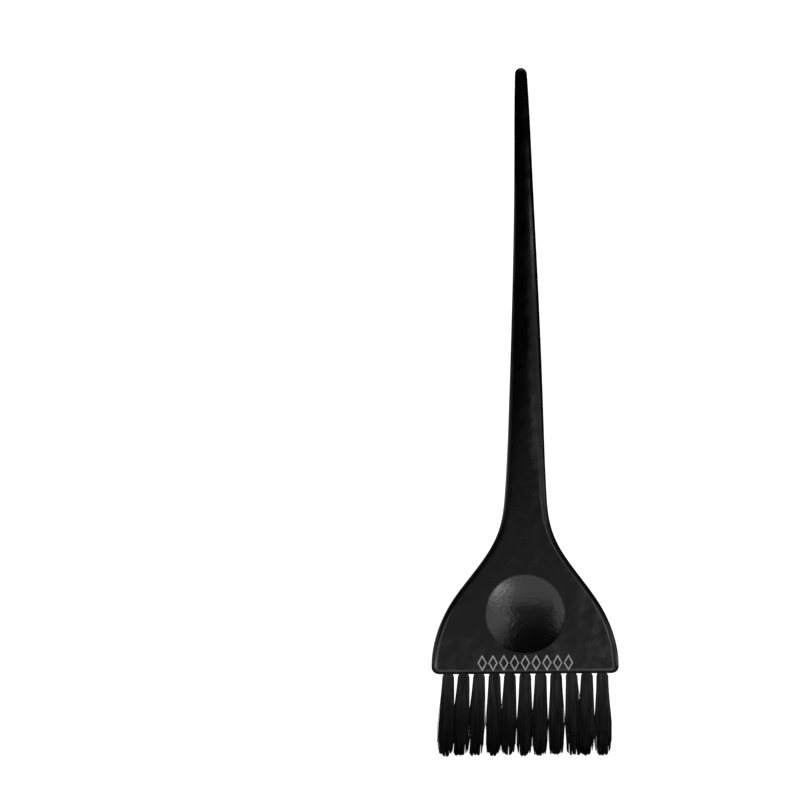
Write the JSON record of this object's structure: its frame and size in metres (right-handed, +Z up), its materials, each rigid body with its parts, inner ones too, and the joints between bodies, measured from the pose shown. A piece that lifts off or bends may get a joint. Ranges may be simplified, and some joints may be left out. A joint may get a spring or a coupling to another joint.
{
  "type": "hair tint brush",
  "caption": "Wide flat salon brush for hair tint: long tapered handle, sloping shoulders, round thumb dish, and tufts of stiff bristle set in rows.",
  "frame": {"origin": "middle of the bristle tips, in the plane that they touch", "axes": "+Z up along the handle from the bristles to the tip, -Y out of the front face, X along the width of the head"},
  "size_m": [0.06, 0.0086, 0.2207],
  "materials": {
    "handle_plastic": "satin black moulded polypropylene, lightly textured",
    "bristle_nylon": "fine black nylon monofilament",
    "anchor_wire": "bare flat wire",
    "print_ink": "pale grey pad-printed ink, a film on the handle's front face"
  },
  "bodies": {
    "root": {"handle": "handle_plastic", "tuft_front_01": "bristle_nylon", "tuft_front_02": "bristle_nylon", "tuft_front_03": "bristle_nylon", "tuft_front_04": "bristle_nylon", "tuft_front_05": "bristle_nylon", "tuft_front_06": "bristle_nylon", "tuft_front_07": "bristle_nylon", "tuft_front_08": "bristle_nylon", "tuft_front_09": "bristle_nylon", "tuft_front_10": "bristle_nylon", "tuft_front_11": "bristle_nylon", "tuft_back_01": "bristle_nylon", "tuft_back_02": "bristle_nylon", "tuft_back_03": "bristle_nylon", "tuft_back_04": "bristle_nylon", "tuft_back_05": "bristle_nylon", "tuft_back_06": "bristle_nylon", "tuft_back_07": "bristle_nylon", "tuft_back_08": "bristle_nylon", "tuft_back_09": "bristle_nylon", "tuft_back_10": "bristle_nylon", "tuft_back_11": "bristle_nylon", "anchor_front_01": "anchor_wire", "anchor_front_02": "anchor_wire", "anchor_front_03": "anchor_wire", "anchor_front_04": "anchor_wire", "anchor_front_05": "anchor_wire", "anchor_front_06": "anchor_wire", "anchor_front_07": "anchor_wire", "anchor_front_08": "anchor_wire", "anchor_front_09": "anchor_wire", "anchor_front_10": "anchor_wire", "anchor_front_11": "anchor_wire", "anchor_back_01": "anchor_wire", "anchor_back_02": "anchor_wire", "anchor_back_03": "anchor_wire", "anchor_back_04": "anchor_wire", "anchor_back_05": "anchor_wire", "anchor_back_06": "anchor_wire", "anchor_back_07": "anchor_wire", "anchor_back_08": "anchor_wire", "anchor_back_09": "anchor_wire", "anchor_back_10": "anchor_wire", "anchor_back_11": "anchor_wire"}
  },
  "joints": []
}
